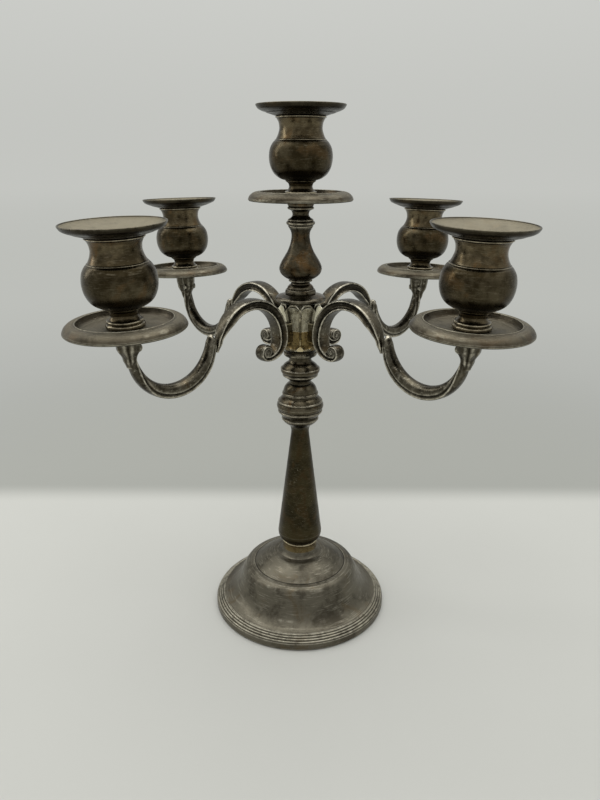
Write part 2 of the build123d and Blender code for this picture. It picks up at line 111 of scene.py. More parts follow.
def mark_edges_and_hollows(mesh, spread=1, cavity_steps=0):
    """Point attributes: "edge" where the surface is sharply convex, "crease" where it is sharply hollow."""
    count = len(mesh.vertices)
    co = np.zeros(count * 3)
    no = np.zeros(count * 3)
    ends = np.zeros(len(mesh.edges) * 2, dtype=np.int32)
    mesh.vertices.foreach_get("co", co)
    mesh.vertices.foreach_get("normal", no)
    mesh.edges.foreach_get("vertices", ends)
    co = co.reshape(-1, 3) / MM
    no = no.reshape(-1, 3)
    a, b = ends.reshape(-1, 2).T
    d = co[b] - co[a]
    length = np.maximum((d * d).sum(1), 1e-4)
    high = np.zeros(count)
    low = np.zeros(count)
    for i, bend in ((a, -(no[a] * d).sum(1) / length), (b, (no[b] * d).sum(1) / length)):
        np.maximum.at(high, i, 2 * bend)
        np.minimum.at(low, i, 2 * bend)
    edge = np.clip((high - 0.25) / 1.0, 0, 1)
    crease = np.clip((-low - 0.2) / 0.9, 0, 1)
    links = np.bincount(a, minlength=count) + np.bincount(b, minlength=count)
    for _ in range(spread):
        for values in (edge, crease):
            near = np.bincount(a, values[b], count) + np.bincount(b, values[a], count)
            values[:] = 0.5 * values + 0.5 * near / np.maximum(links, 1)
    if cavity_steps:
        soft = co.copy()
        for _ in range(cavity_steps):
            near = np.stack([np.bincount(a, soft[b, i], count) + np.bincount(b, soft[a, i], count)
                             for i in range(3)], 1)
            soft = 0.5 * soft + 0.5 * near / np.maximum(links, 1)[:, None]
        depth = ((soft - co) * no).sum(1)
        edge = np.clip(edge * 0.5 + np.clip((-depth - 0.1) / 0.35, 0, 1), 0, 1)
        crease = np.clip(crease * 0.5 + np.clip((depth - 0.03) / 0.22, 0, 1), 0, 1)
    for label, values in (("edge", edge), ("crease", crease)):
        layer = mesh.attributes.new(label, "FLOAT", "POINT")
        layer.data.foreach_set("value", values.astype(np.float32))


def lathe(name, points, segments=112, closed=False, shape=None):
    """Turned solid about Z. shape(angle, radius, height) may change the radius."""
    n = len(points)
    verts = []
    for i in range(segments):
        t = TAU * i / segments
        for r, z in points:
            if shape:
                r, z = shape(t, r, z)
            verts.append((r * math.cos(t), r * math.sin(t), z))
    faces = []
    for i in range(segments):
        k = (i + 1) % segments
        for j in range(n if closed else n - 1):
            m = (j + 1) % n
            corners = [i * n + j, k * n + j, k * n + m, i * n + m]
            faces.append(corners)
    return mesh_object(name, verts, faces)


# ---------------------------------------------------------------- materials


def math_node(nt, op, a, b=None, clamp=False):
    n = nt.nodes.new("ShaderNodeMath")
    n.operation = op
    n.use_clamp = clamp
    for i, v in enumerate((a, b)):
        if v is None:
            continue
        if isinstance(v, (int, float)):
            n.inputs[i].default_value = v
        else:
            nt.links.new(v, n.inputs[i])
    return n.outputs[0]


def blend_colour(nt, factor, a, b):
    n = nt.nodes.new("ShaderNodeMix")
    n.data_type = "RGBA"
    n.clamp_factor = True
    for socket, v in ((n.inputs[0], factor), (n.inputs[6], a), (n.inputs[7], b)):
        if isinstance(v, (int, float)):
            socket.default_value = v
        elif isinstance(v, tuple):
            socket.default_value = (*v, 1)
        else:
            nt.links.new(v, socket)
    return n.outputs[2]


def ramp(nt, value, low, high, out_low=0.0, out_high=1.0):
    n = nt.nodes.new("ShaderNodeMapRange")
    n.interpolation_type = "SMOOTHSTEP"
    nt.links.new(value, n.inputs[0])
    for i, v in enumerate((low, high, out_low, out_high)):
        n.inputs[i + 1].default_value = v
    return n.outputs[0]


def noise(nt, coords, scale, detail=4, rough=0.55, warp=0.0):
    n = nt.nodes.new("ShaderNodeTexNoise")
    n.inputs["Scale"].default_value = scale
    n.inputs["Detail"].default_value = detail
    n.inputs["Roughness"].default_value = rough
    n.inputs["Distortion"].default_value = warp
    nt.links.new(coords, n.inputs["Vector"])
    return n.outputs["Fac"]


def attribute(nt, label):
    n = nt.nodes.new("ShaderNodeAttribute")
    n.attribute_name = label
    return n.outputs["Fac"]


def turned_coords(nt, coords, around, across):
    """Coordinates that run round the object's own Z axis, so a noise in them looks like rubbing marks."""
    split = nt.nodes.new("ShaderNodeSeparateXYZ")
    nt.links.new(coords, split.inputs[0])
    x, y, z = split.outputs
    squares = math_node(nt, "ADD", math_node(nt, "MULTIPLY", x, x), math_node(nt, "MULTIPLY", y, y))
    reach = math_node(nt, "SQRT", squares)
    unit = math_node(nt, "MAXIMUM", reach, 1e-5)
    join = nt.nodes.new("ShaderNodeCombineXYZ")
    outward = math_node(nt, "MULTIPLY", reach, across)
    along = math_node(nt, "ADD", outward, math_node(nt, "MULTIPLY", z, across))
    nt.links.new(math_node(nt, "MULTIPLY", math_node(nt, "DIVIDE", x, unit), around), join.inputs[0])
    nt.links.new(math_node(nt, "MULTIPLY", math_node(nt, "DIVIDE", y, unit), around), join.inputs[1])
    nt.links.new(along, join.inputs[2])
    return join.outputs[0]


def plated_metal(name, dark, mid, bright, warm, warm_share=0.3, mid_share=0.5, rough=0.42,
                 rough_bright=0.24, edge_gain=1.0, turned=True, dust=0.0,
                 dust_colour=(0.42, 0.38, 0.31), rings=0.25, metallic=0.95, flecks=0.0,
                 pitting=0.0, underside_shade=0.5, dust_low=0.55, dust_high=0.98):
    """Worn silver plate: tarnished patches, edges rubbed bright partly as wear and partly as painted
    highlight, dark hollows, painted shade on faces that point down, fine marks and dust.
    """
    mat = bpy.data.materials.new(name)
    mat.use_nodes = True
    nt = mat.node_tree
    shader = nt.nodes["Principled BSDF"]
    coords = nt.nodes.new("ShaderNodeTexCoord").outputs["Object"]
    patches = noise(nt, coords, 38, 5, 0.6, 0.4)
    mottle = noise(nt, coords, 230, 7, 0.68, 0.3)
    grain = noise(nt, coords, 1400, 3, 0.6)
    copper = noise(nt, coords, 62, 4, 0.62, 0.8)
    marks = noise(nt, turned_coords(nt, coords, 1.1, 900) if turned else coords, 3 if turned else 420, 5, 0.7)
    edge = attribute(nt, "edge")
    crease = attribute(nt, "crease")
    fine_share = math_node(nt, "MULTIPLY", mottle, 0.35)
    mixed = math_node(nt, "ADD", math_node(nt, "MULTIPLY", patches, 0.65), fine_share)
    centre = 0.5 + 0.22 * (0.5 - mid_share)
    colour = blend_colour(nt, ramp(nt, mixed, centre - 0.09, centre + 0.09), dark, mid)
    warm_from = 0.62 - 0.3 * warm_share
    colour = blend_colour(nt, ramp(nt, copper, warm_from, warm_from + 0.16, 0, 0.85), colour, warm)
    rubbed = math_node(nt, "MULTIPLY", ramp(nt, marks, 0.52, 0.74), rings)
    # Convex edges are painted bright: partly rubbed wear, partly painted highlight.
    edge_wear_and_highlight = math_node(nt, "MULTIPLY", edge, ramp(nt, mottle, 0.34, 0.62, 0.25 * edge_gain, edge_gain))
    colour = blend_colour(nt, math_node(nt, "ADD", rubbed, edge_wear_and_highlight, True), colour, bright)
    black = tuple(0.28 * c for c in dark)
    # Hollows darken with tarnish. On the hub this mask also carries painted shade in the corners beside the
    # branches.
    colour = blend_colour(nt, math_node(nt, "MULTIPLY", crease, 0.85), colour, black)
    spots = ramp(nt, noise(nt, coords, 520, 4, 0.7), 0.66, 0.74, 0, 0.55)
    colour = blend_colour(nt, spots, colour, black)
    if flecks:
        chips = math_node(nt, "MULTIPLY", ramp(nt, noise(nt, coords, 900, 5, 0.75), 0.60, 0.68),
                          ramp(nt, noise(nt, coords, 75, 3, 0.5), 0.52, 0.66))
        colour = blend_colour(nt, math_node(nt, "MULTIPLY", chips, flecks), colour, bright)
    normal = nt.nodes.new("ShaderNodeNewGeometry").outputs["Normal"]
    up = nt.nodes.new("ShaderNodeSeparateXYZ")
    nt.links.new(normal, up.inputs[0])
    below = math_node(nt, "MULTIPLY", up.outputs[2], -1.0)
    # Painted shade: surfaces that face down are darkened towards black.
    colour = blend_colour(nt, ramp(nt, below, 0.1, 0.85, 0.0, underside_shade), colour, black)
    settled = math_node(nt, "MULTIPLY", ramp(nt, up.outputs[2], dust_low, dust_high),
                        ramp(nt, mottle, 0.3, 0.65, 0.55 * dust, dust), True)
    colour = blend_colour(nt, settled, colour, dust_colour)
    nt.links.new(colour, shader.inputs["Base Color"])
    metal = math_node(nt, "SUBTRACT", metallic, math_node(nt, "MULTIPLY", settled, 0.75), True)
    nt.links.new(metal, shader.inputs["Metallic"])
    roughness = math_node(nt, "ADD", ramp(nt, mottle, 0.3, 0.7, rough - 0.07, rough + 0.1),
                          math_node(nt, "MULTIPLY", settled, 0.3), True)
    roughness = math_node(nt, "ADD", roughness, math_node(nt, "MULTIPLY", edge_wear_and_highlight, rough_bright - rough), True)
    nt.links.new(roughness, shader.inputs["Roughness"])
    fine_height = math_node(nt, "MULTIPLY", grain, 0.35)
    height = math_node(nt, "ADD", math_node(nt, "MULTIPLY", marks, 0.8), fine_height)
    height = math_node(nt, "ADD", height, math_node(nt, "MULTIPLY", mottle, 1.2 + 2.5 * pitting))
    bump = nt.nodes.new("ShaderNodeBump")
    bump.inputs["Strength"].default_value = 0.35 + 0.4 * pitting
    bump.inputs["Distance"].default_value = 0.00012
    nt.links.new(height, bump.inputs["Height"])
    nt.links.new(bump.outputs[0], shader.inputs["Normal"])
    return mat


SILVER = (0.52, 0.48, 0.38)
foot_metal = plated_metal("foot_plate", (0.064, 0.056, 0.041), (0.146, 0.133, 0.102), (0.50, 0.47, 0.38),
                          (0.120, 0.095, 0.06), 0.25, 0.66, 0.38, 0.28, rings=0.5, edge_gain=0.7)
column_metal = plated_metal("column_plate", (0.025, 0.020, 0.009), (0.052, 0.042, 0.020), SILVER,
                            (0.052, 0.034, 0.014), 0.4, 0.5, 0.36, 0.25, rings=0.15, edge_gain=0.5,
                            flecks=0.9)
stem_metal = plated_metal("stem_plate", (0.034, 0.027, 0.015), (0.105, 0.089, 0.058), SILVER,
                          (0.11, 0.064, 0.025), 0.36, 0.5, 0.25, 0.18, rings=0.2, edge_gain=0.6, underside_shade=0.7)
# Painted light: the hub's plate and brass are far paler than the same plate elsewhere, standing in for light
# that the cap and straps keep off.
hub_metal_painted_bright = plated_metal("hub_plate", (0.62, 0.57, 0.40), (0.93, 0.88, 0.68), (0.98, 0.95, 0.82),
                         (0.62, 0.46, 0.24), 0.2, 0.62, 0.3, 0.2, turned=False, rings=0.12, underside_shade=0.1)
hub_brass = plated_metal("hub_brass", (0.30, 0.205, 0.075), (0.56, 0.42, 0.19), (0.95, 0.88, 0.64),
                         (0.42, 0.27, 0.09), 0.4, 0.5, 0.3, 0.2, turned=False, rings=0.12, underside_shade=0.1)
arm_metal = plated_metal("arm_plate", (0.038, 0.032, 0.020), (0.102, 0.090, 0.064), (0.64, 0.60, 0.49),
                         (0.082, 0.060, 0.032), 0.2, 0.5, 0.27, 0.17, turned=False, rings=0.42,
                         edge_gain=1.05, flecks=0.15, underside_shade=0.7)
pan_metal = plated_metal("pan_plate", (0.048, 0.039, 0.026), (0.134, 0.115, 0.081), (0.50, 0.47, 0.37),
                         (0.105, 0.078, 0.048), 0.35, 0.6, 0.36, 0.3, rings=0.4, edge_gain=0.8, dust=0.55,
                         dust_colour=(0.195, 0.176, 0.125), flecks=1.0, pitting=1.0, underside_shade=0.8)
socket_metal = plated_metal("socket_plate", (0.034, 0.025, 0.011), (0.096, 0.078, 0.046), (0.50, 0.44, 0.32),
                            (0.092, 0.060, 0.027), 0.3, 0.5, 0.26, 0.2, rings=0.25, edge_gain=0.9, flecks=0.4,
                            underside_shade=1.0)
neck_metal = plated_metal("socket_neck_plate", (0.058, 0.044, 0.023), (0.165, 0.130, 0.076),
                          (0.62, 0.55, 0.40), (0.13, 0.080, 0.034), 0.4, 0.5, 0.22, 0.16, rings=0.25,
                          edge_gain=0.8)
nozzle_metal = plated_metal("nozzle_plate", (0.026, 0.020, 0.011), (0.070, 0.058, 0.036), (0.34, 0.31, 0.23),
                            (0.08, 0.056, 0.026), 0.3, 0.5, 0.30, 0.22, rings=0.2, edge_gain=0.35, underside_shade=0.8)
dusty_metal = plated_metal("nozzle_inside", (0.10, 0.085, 0.056), (0.22, 0.195, 0.138), (0.50, 0.47, 0.37),
                           (0.20, 0.155, 0.092), 0.3, 0.5, 0.45, 0.3, rings=0.2, edge_gain=0.4, dust=0.75,
                           dust_colour=(0.262, 0.234, 0.165), flecks=0.8, pitting=1.0, metallic=0.8,
                           dust_low=0.2, dust_high=0.8)
ring_metal = plated_metal("dark_ring", (0.022, 0.017, 0.010), (0.055, 0.043, 0.024), (0.66, 0.60, 0.46),
                          (0.075, 0.046, 0.019), 0.35, 0.5, 0.28, 0.18, rings=0.1, edge_gain=0.9)
brass_metal = plated_metal("worn_brass", (0.070, 0.049, 0.020), (0.165, 0.124, 0.058), (0.70, 0.62, 0.44),
                           (0.13, 0.082, 0.030), 0.4, 0.5, 0.28, 0.18, rings=0.25, edge_gain=0.8)


def plain_surface(name, colour, other, rough, metallic, scale, bump_mm):
    """Two-tone noisy surface for the parts that only show from below."""
    mat = bpy.data.materials.new(name)
    mat.use_nodes = True
    nt = mat.node_tree
    shader = nt.nodes["Principled BSDF"]
    coords = nt.nodes.new("ShaderNodeTexCoord").outputs["Object"]
    texture = noise(nt, coords, scale, 6, 0.65)
    nt.links.new(blend_colour(nt, ramp(nt, texture, 0.35, 0.65), colour, other), shader.inputs["Base Color"])
    nt.links.new(ramp(nt, texture, 0.3, 0.7, rough - 0.08, rough + 0.08), shader.inputs["Roughness"])
    shader.inputs["Metallic"].default_value = metallic
    bump = nt.nodes.new("ShaderNodeBump")
    bump.inputs["Strength"].default_value = 0.6
    bump.inputs["Distance"].default_value = bump_mm * MM
    nt.links.new(texture, bump.inputs["Height"])
    nt.links.new(bump.outputs[0], shader.inputs["Normal"])
    return mat


baize = plain_surface("green_baize", (0.020, 0.050, 0.030), (0.045, 0.085, 0.052), 0.92, 0.0, 2600, 0.3)
steel = plain_surface("turned_steel", (0.42, 0.42, 0.41), (0.30, 0.30, 0.29), 0.34, 1.0, 900, 0.03)
iron = plain_surface("cast_iron", (0.05, 0.047, 0.043), (0.10, 0.093, 0.085), 0.75, 0.7, 420, 0.4)


def paint(obj, *materials):
    obj.data.materials.clear()
    for mat in materials:
        obj.data.materials.append(mat)
    return obj


for node, mat in (("baize_pad", baize), ("base_plate", steel), ("base_weight", iron), ("rod_washer", steel),
                  ("rod_nut", steel), ("tie_rod", steel), ("stem_spigot", stem_metal), ("centre_rod", steel),
                  ("light_studs", steel)):
    paint(frame["nodes"][node], mat)


def stand_in(obj, node, body, slot, *materials):
    """The new piece takes the place of one CAD node."""
    paint(obj, *materials)
    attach(obj, body)
    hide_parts(node)
    return obj


# ---------------------------------------------------------------- foot and stem
def bead(centre_r, centre_z, radius, start, stop, steps=8):
    """Arc of a raised bead, in degrees, as (radius, height) points."""
    return [(centre_r + radius * math.cos(math.radians(start + (stop - start) * k / steps)),
             centre_z + radius * math.sin(math.radians(start + (stop - start) * k / steps)))
            for k in range(steps + 1)]


foot = outline(
    [(10.0, 40.5), (16.9, 40.5)],
    [(16.9, 40.5), (19.4, 40.1), (24.5, 38.0), (28.6, 35.5), (31.9, 33.1)],
    [(31.9, 33.1), (32.7, 32.55), (33.5, 32.6)],
    [(33.5, 32.6), (36.0, 32.1)],
    [(36.0, 32.1), (38.7, 30.5), (41.0, 27.2), (42.7, 23.4), (44.8, 18.6), (48.2, 13.6), (52.2, 10.4),
     (55.3, 9.2)],
    [(55.3, 9.2), (55.75, 9.15)],
    bead(56.4, 8.65, 0.62, 150, -10),
    bead(57.75, 7.7, 0.7, 130, -10),
    bead(59.15, 6.7, 0.7, 130, -10),
    bead(60.6, 5.6, 0.72, 130, 0),
    [(61.4, 5.3), (61.9, 4.5), (62.0, 0.9)],
    [(62.0, 0.9), (61.7, 0.35)],
    [(61.7, 0.35), (60.5, 0.35)],
    [(60.5, 0.35), (60.1, 4.1)],
    [(60.1, 4.1), (55.0, 7.5)],
    [(55.0, 7.5), (48.2, 11.8), (42.2, 20.8), (39.0, 27.6), (34.8, 30.6)],
    [(34.8, 30.6), (10.0, 38.9)],
    [(10.0, 38.9), (10.0, 40.5)], corner=0.22)
stand_in(lathe("foot_shell_spun", foot, 192, closed=True), "foot_shell", "base", "foot_plate", foot_metal)

collar = outline(
    [(0, 40.6), (16.6, 40.6)],
    [(16.6, 40.6), (15.0, 41.0), (13.5, 42.4), (12.5, 44.6), (12.15, 47.0)],
    [(12.15, 47.0), (12.1, 49.6)],
    bead(11.9, 50.45, 0.85, -70, 70),
    [(12.2, 51.25), (0, 51.3)])
collar_turned = stand_in(lathe("stem_collar_turned", collar), "stem_collar", "base", "worn_brass",
                         brass_metal, foot_metal)
COLLAR_FLARE_TOP_Z = 44.9
for face in collar_turned.data.polygons:
    face.material_index = 1 if face.center.z < COLLAR_FLARE_TOP_Z * MM else 0

column = outline(
    [(0, 51.35), (12.2, 51.35)],
    [(12.2, 51.35), (14.1, 53.0), (15.3, 55.4), (15.6, 57.8)],
    [(15.6, 57.8), (6.15, 134.4)],
    [(6.15, 134.4), (6.1, 136.0), (6.25, 137.3), (6.6, 138.5)],
    [(6.6, 138.5), (0, 138.55)], corner=1.2)
stand_in(lathe("stem_column_turned", column), "stem_column", "base", "stem_plate", column_metal)

big_knop = outline(
    [(0, 138.65), (6.6, 138.65)],
    [(6.6, 138.65), (7.4, 140.2), (9.6, 141.6), (11.4, 143.2), (12.0, 144.2)],
    bead(11.7, 145.1, 0.95, -60, 75),
    [(11.7, 146.3), (11.6, 146.9)],
    [(11.6, 146.9), (13.0, 147.8), (14.3, 149.7)],
    bead(14.35, 150.7, 0.85, -70, 60),
    [(14.8, 151.6), (15.5, 152.9), (15.9, 154.3)],
    [(15.9, 154.3), (15.75, 155.6), (15.1, 157.0)],
    bead(14.4, 157.6, 0.8, -20, 95),
    [(14.2, 158.5), (13.2, 159.9), (11.7, 161.1)],
    [(11.7, 161.1), (11.5, 161.8)],
    bead(11.1, 163.2, 1.15, -75, 70),
    [(11.4, 164.6), (11.2, 165.9), (10.4, 167.9), (8.8, 169.8), (7.7, 170.5)],
    [(7.7, 170.5), (0, 170.55)], corner=0.2)
stand_in(lathe("lower_knop_turned", big_knop), "lower_knop", "base", "stem_plate", stem_metal)

small_knop = outline(
    [(0, 170.65), (7.4, 170.65)],
    [(7.4, 170.65), (7.3, 171.8), (7.7, 173.0)],
    [(7.7, 173.0), (9.6, 174.2), (11.0, 175.5)],
    bead(11.2, 176.3, 0.8, -60, 50),
    [(11.9, 177.1), (12.9, 178.6), (13.1, 179.9)],
    bead(12.4, 180.6, 0.75, -10, 90),
    [(12.0, 181.7), (10.9, 183.2), (9.4, 184.4), (8.1, 185.4), (7.4, 186.7)],
    [(7.4, 186.7), (0, 186.75)], corner=0.2)
stand_in(lathe("upper_knop_turned", small_knop), "upper_knop", "base", "stem_plate", stem_metal)

# ---------------------------------------------------------------- centre stack above the hub
cap = outline(
    [(0, 225.7), (13.6, 225.7)],
    [(13.6, 225.7), (15.4, 226.3), (16.3, 227.6), (16.1, 228.7), (15.0, 229.5)],
    [(15.0, 229.5), (12.4, 230.2), (10.6, 230.8)],
    [(10.6, 230.8), (0, 230.85)], corner=0.3)
stand_in(lathe("hub_cap_turned", cap), "hub_cap", "branches", "hub_plate", stem_metal)

spool = outline(
    [(0, 230.95), (9.6, 230.95)],
    [(9.6, 230.95), (9.85, 231.7), (9.8, 232.7), (9.3, 233.7)],
    [(9.3, 233.7), (8.6, 234.1)],
    [(8.6, 234.1), (8.3, 235.2), (7.4, 236.3), (6.3, 237.2)],
    [(6.3, 237.2), (6.0, 238.0), (6.5, 238.8)],
    bead(7.0, 239.4, 0.62, -60, 70),
    [(7.0, 240.0), (0, 240.05)], corner=0.2)
stand_in(lathe("centre_spool_turned", spool), "centre_spool", "branches", "stem_plate", stem_metal)

baluster = outline(
    [(0, 240.15), (7.6, 240.15)],
    [(7.6, 240.15), (9.8, 241.3), (12.2, 243.3), (13.4, 245.6), (13.5, 248.0), (12.2, 251.2), (10.0, 254.9),
     (8.1, 258.2), (6.6, 262.2), (5.8, 266.3), (5.95, 269.3), (6.9, 271.5)],
    [(6.9, 271.5), (7.6, 272.5)],
    [(7.6, 272.5), (0, 272.55)], corner=0.25)
stand_in(lathe("centre_baluster_turned", baluster), "centre_baluster", "branches", "stem_plate", stem_metal)

ring = outline(
    [(0, 272.65), (7.4, 272.65)],
    bead(7.55, 273.15, 0.4, -80, 60),
    [(7.75, 273.5), (8.7, 274.3), (9.05, 275.1), (8.7, 276.0), (7.9, 276.5)],
    bead(7.7, 276.9, 0.4, -40, 80),
    [(7.7, 277.35), (0, 277.35)], corner=0.2)
stand_in(lathe("centre_ring_turned", ring), "centre_ring", "branches", "worn_brass", ring_metal)

neck = outline(
    [(0, 277.45), (7.7, 277.45)],
    [(7.7, 277.45), (6.4, 278.2), (5.3, 279.5), (5.2, 280.9), (5.9, 282.4), (7.2, 283.2)],
    bead(7.5, 284.1, 0.8, -80, 80),
    [(7.6, 284.95), (8.2, 286.0), (8.5, 288.5)],
    [(8.5, 288.5), (0, 288.55)], corner=0.25)
stand_in(lathe("centre_neck_turned", neck), "centre_neck", "branches", "stem_plate", stem_metal)


# ---------------------------------------------------------------- hub: eight hollow facets with raised ribs
def hub_shape(angle, radius, z):
    """Turns the round outline into facets above its lower ring; ribs, arched tops and a scalloped foot."""
    facet = ((angle / (TAU / 8)) % 1.0 - 0.5) * 45.0
    share = min(1.0, max(0.0, (z - 195.2) / 1.2))
    if share <= 0 or radius < 8.5:
        return radius, z
    flat = radius * math.cos(math.radians(22.5)) / math.cos(math.radians(facet))
    middle = math.cos(math.radians(4 * facet))
    flat -= 0.35 * max(0.0, middle)
    rib = 22.5 - abs(facet)
    flat += 0.6 * math.exp(-(rib / 2.4) ** 2)
    scallop = max(0.0, 1 - (22.5 - abs(facet)) / 16.0) ** 1.6
    if 195.0 < z < 199.0:
        z += 3.0 * scallop * (199.0 - z) / 3.2
    if z > 219.5:
        z -= 3.0 * scallop * (z - 219.5) / 5.0
    return flat * share + radius * (1 - share), z


hub_outline = outline(
    [(0, 189.05), (8.2, 189.05)],
    bead(9.5, 191.0, 1.6, -110, 60),
    [(10.3, 192.4), (10.2, 193.1), (10.9, 194.2), (12.2, 195.3)],
    [(12.2, 195.3), (12.7, 196.1)],
    [(12.7, 196.1), (12.0, 197.0)],
    [(12.0, 197.0), (11.2, 198.6)],
    [(11.2, 198.6), (10.8, 203.0), (11.0, 207.4)],
    [(11.0, 207.4), (11.5, 208.0)],
    [(11.5, 208.0), (11.3, 209.2)],
    [(11.3, 209.2), (11.5, 213.5), (12.4, 218.5), (13.6, 222.6)],
    [(13.6, 222.6), (13.9, 223.6)],
    [(13.9, 223.6), (12.6, 224.0)],
    [(12.6, 224.0), (12.4, 225.6)],
    [(12.4, 225.6), (0, 225.6)], corner=0.22)
hub_cast = stand_in(lathe("hub_cast", hub_outline, 240, shape=hub_shape), "hub", "branches", "hub_plate",
                    hub_metal_painted_bright, hub_brass, ring_metal)
HUB_RING_TOP_Z, HUB_BRASS_TOP_Z = 195.6, 207.9
for face in hub_cast.data.polygons:
    z = face.center.z / MM
    face.material_index = 2 if z < HUB_RING_TOP_Z else 1 if z < HUB_BRASS_TOP_Z else 0
# painted shade in the corners beside the branches; elsewhere the hollows keep 0.3 of their tarnish
hollow_tarnish_and_shade = hub_cast.data.attributes["crease"].data
for vertex in hub_cast.data.vertices:
    branch_way = abs((math.degrees(math.atan2(vertex.co.y, vertex.co.x)) + 45) % 90 - 45)
    corner_shade = min(1.0, max(0.0, (17 - branch_way) / 8))
    hollow_tarnish_and_shade[vertex.index].value = max(0.3 * hollow_tarnish_and_shade[vertex.index].value, corner_shade)

# ---------------------------------------------------------------- lights: pan, socket and nozzle
LIGHT_TO_CANDLE = 37.7
pan = outline(
    [(3, 2.8), (10.9, 2.8)],
    [(10.9, 2.8), (22.2, 2.85)],
    [(22.2, 2.85), (23.6, 3.35), (24.6, 4.6), (25.15, 6.5)],
    bead(25.5, 6.65, 0.34, 180, 20),
    [(25.85, 6.6), (27.6, 6.75), (29.7, 6.0), (31.45, 4.5), (32.35, 2.9)],
    [(32.35, 2.9), (32.45, 2.1), (31.9, 1.45)],
    [(31.9, 1.45), (31.4, 1.9)],
    [(31.6, 1.9), (30.8, 3.3), (29.0, 4.7), (26.9, 5.5)],
    [(26.9, 5.5), (25.3, 3.1), (22.8, 1.65)],
    [(22.8, 1.65), (3, 1.65)],
    [(3, 1.65), (3, 2.8)], corner=0.16)

socket = outline(
    [(0, 2.85), (10.1, 2.85)],
    bead(9.2, 4.05, 1.2, -75, 70, 12),
    [(9.6, 5.3), (9.35, 5.45)],
    bead(9.0, 6.25, 0.8, -70, 80, 10),
    [(9.1, 7.05), (8.4, 7.5), (7.4, 9.0), (7.3, 10.4), (7.8, 11.7), (8.8, 12.5)],
    [(8.8, 12.5), (9.35, 12.75)],
    [(9.35, 12.75), (9.4, 13.35)],
    [(9.4, 13.35), (12.6, 14.45), (16.2, 17.1), (18.5, 21.4), (19.35, 26.6), (18.7, 31.6), (17.0, 34.9),
     (15.7, 36.2)],
    [(15.7, 36.2), (15.65, 36.55), (15.1, 36.85)],
    [(15.1, 36.85), (13.9, 39.2), (13.1, 41.8), (12.98, 43.7), (13.4, 46.2), (14.5, 48.4)],
    bead(14.95, 49.1, 0.4, -60, 60),
    [(14.9, 49.65), (12.3, 49.65)],
    [(12.3, 49.65), (12.3, 40.0)],
    [(12.3, 40.0), (14.2, 35.8), (17.2, 31.6), (17.9, 26.6), (16.8, 21.4), (13.2, 17.2), (8.0, 15.4)],
    [(8.0, 15.4), (0, 15.4)], corner=0.2)

nozzle = outline(
    [(0, 24.0), (12.2, 24.0)],
    [(12.2, 24.0), (12.2, 49.75)],
    [(12.2, 49.75), (15.2, 49.75)],
    [(15.2, 49.75), (17.8, 50.6), (20.6, 51.4)],
    [(20.6, 51.4), (21.0, 51.75), (21.6, 51.85)],
    [(21.6, 51.85), (23.9, 52.7), (25.7, 53.7), (26.85, 55.3)],
    bead(26.6, 55.8, 0.4, -30, 140),
    [(26.25, 55.85), (25.2, 54.9), (23.0, 53.8), (19.4, 52.6), (15.2, 51.4), (12.4, 50.75)],
    [(12.4, 50.75), (11.6, 50.1), (11.3, 48.9)],
    [(11.3, 48.9), (11.3, 25.0)],
    [(11.3, 25.0), (0, 25.0)], corner=0.2)


def in_row_frame(turned_piece, mount):
    """Moves a turned piece from its own axis to the light whose candle mount is given."""
    axis = Vector(mount["axis"]).normalized()
    datum = Vector(mount["pos_m"]) - axis * LIGHT_TO_CANDLE * MM
    turn = math.atan2(datum.y, datum.x) if datum.xy.length > 0.01 else 0.0
    tilt = math.acos(min(1.0, axis.z))
    turned_piece.matrix_world = (Matrix.Translation(datum) @ Matrix.Rotation(turn, 4, "Z")
                                 @ Matrix.Rotation(tilt, 4, "Y"))


def copy_of(obj, name):
    made = bpy.data.objects.new(name, obj.data)
    bpy.context.scene.collection.objects.link(made)
    return made


NECK_FOOT_Z, NECK_TOP_Z, SOCKET_STEM_TOP_Z, NOZZLE_INSIDE_R = 37.0, 49.5, 13.2, 26.1


def two_tone(obj):
    """Second material slot on the faces of the socket's waisted neck and foot."""
    for face in obj.data.polygons:
        z = face.center.z / MM
        if NECK_FOOT_Z < z < NECK_TOP_Z or z < SOCKET_STEM_TOP_Z:
            face.material_index = 1


first_pan = lathe("drip_pan_1_spun", pan, 176, closed=True)
first_socket = lathe("socket_1_spun", socket, 112)
first_nozzle = lathe("nozzle_1_spun", nozzle, 144)
mounts = {m["name"]: m for m in frame["record"]["mounts"]}
for k in range(1, 6):
    mount = mounts["candle_%d" % k]
    trio = (first_pan, first_socket, first_nozzle)
    if k > 1:
        trio = tuple(copy_of(o, o.name.replace("_1_", "_%d_" % k)) for o in trio)
    for obj in trio:
        in_row_frame(obj, mount)
    for obj, node, body, slot, mats in (
        (trio[0], "drip_pan_%d" % k, "branches", "pan_plate", (pan_metal,)),
        (trio[1], "socket_%d" % k, "branches", "socket_plate", (socket_metal, neck_metal)),
        (trio[2], "nozzle_%d" % k, "nozzle_%d_body" % k, "nozzle_plate", (nozzle_metal, dusty_metal)),
    ):
        stand_in(obj, node, body, slot, *mats)
two_tone(first_socket)
for face in first_nozzle.data.polygons:
    reach = math.hypot(face.center.x, face.center.y) / MM
    face.material_index = 1 if face.normal.z > 0.3 and reach < NOZZLE_INSIDE_R else 0

# ---------------------------------------------------------------- cast branch (x outward, z up)
SECTION_POINTS = 76


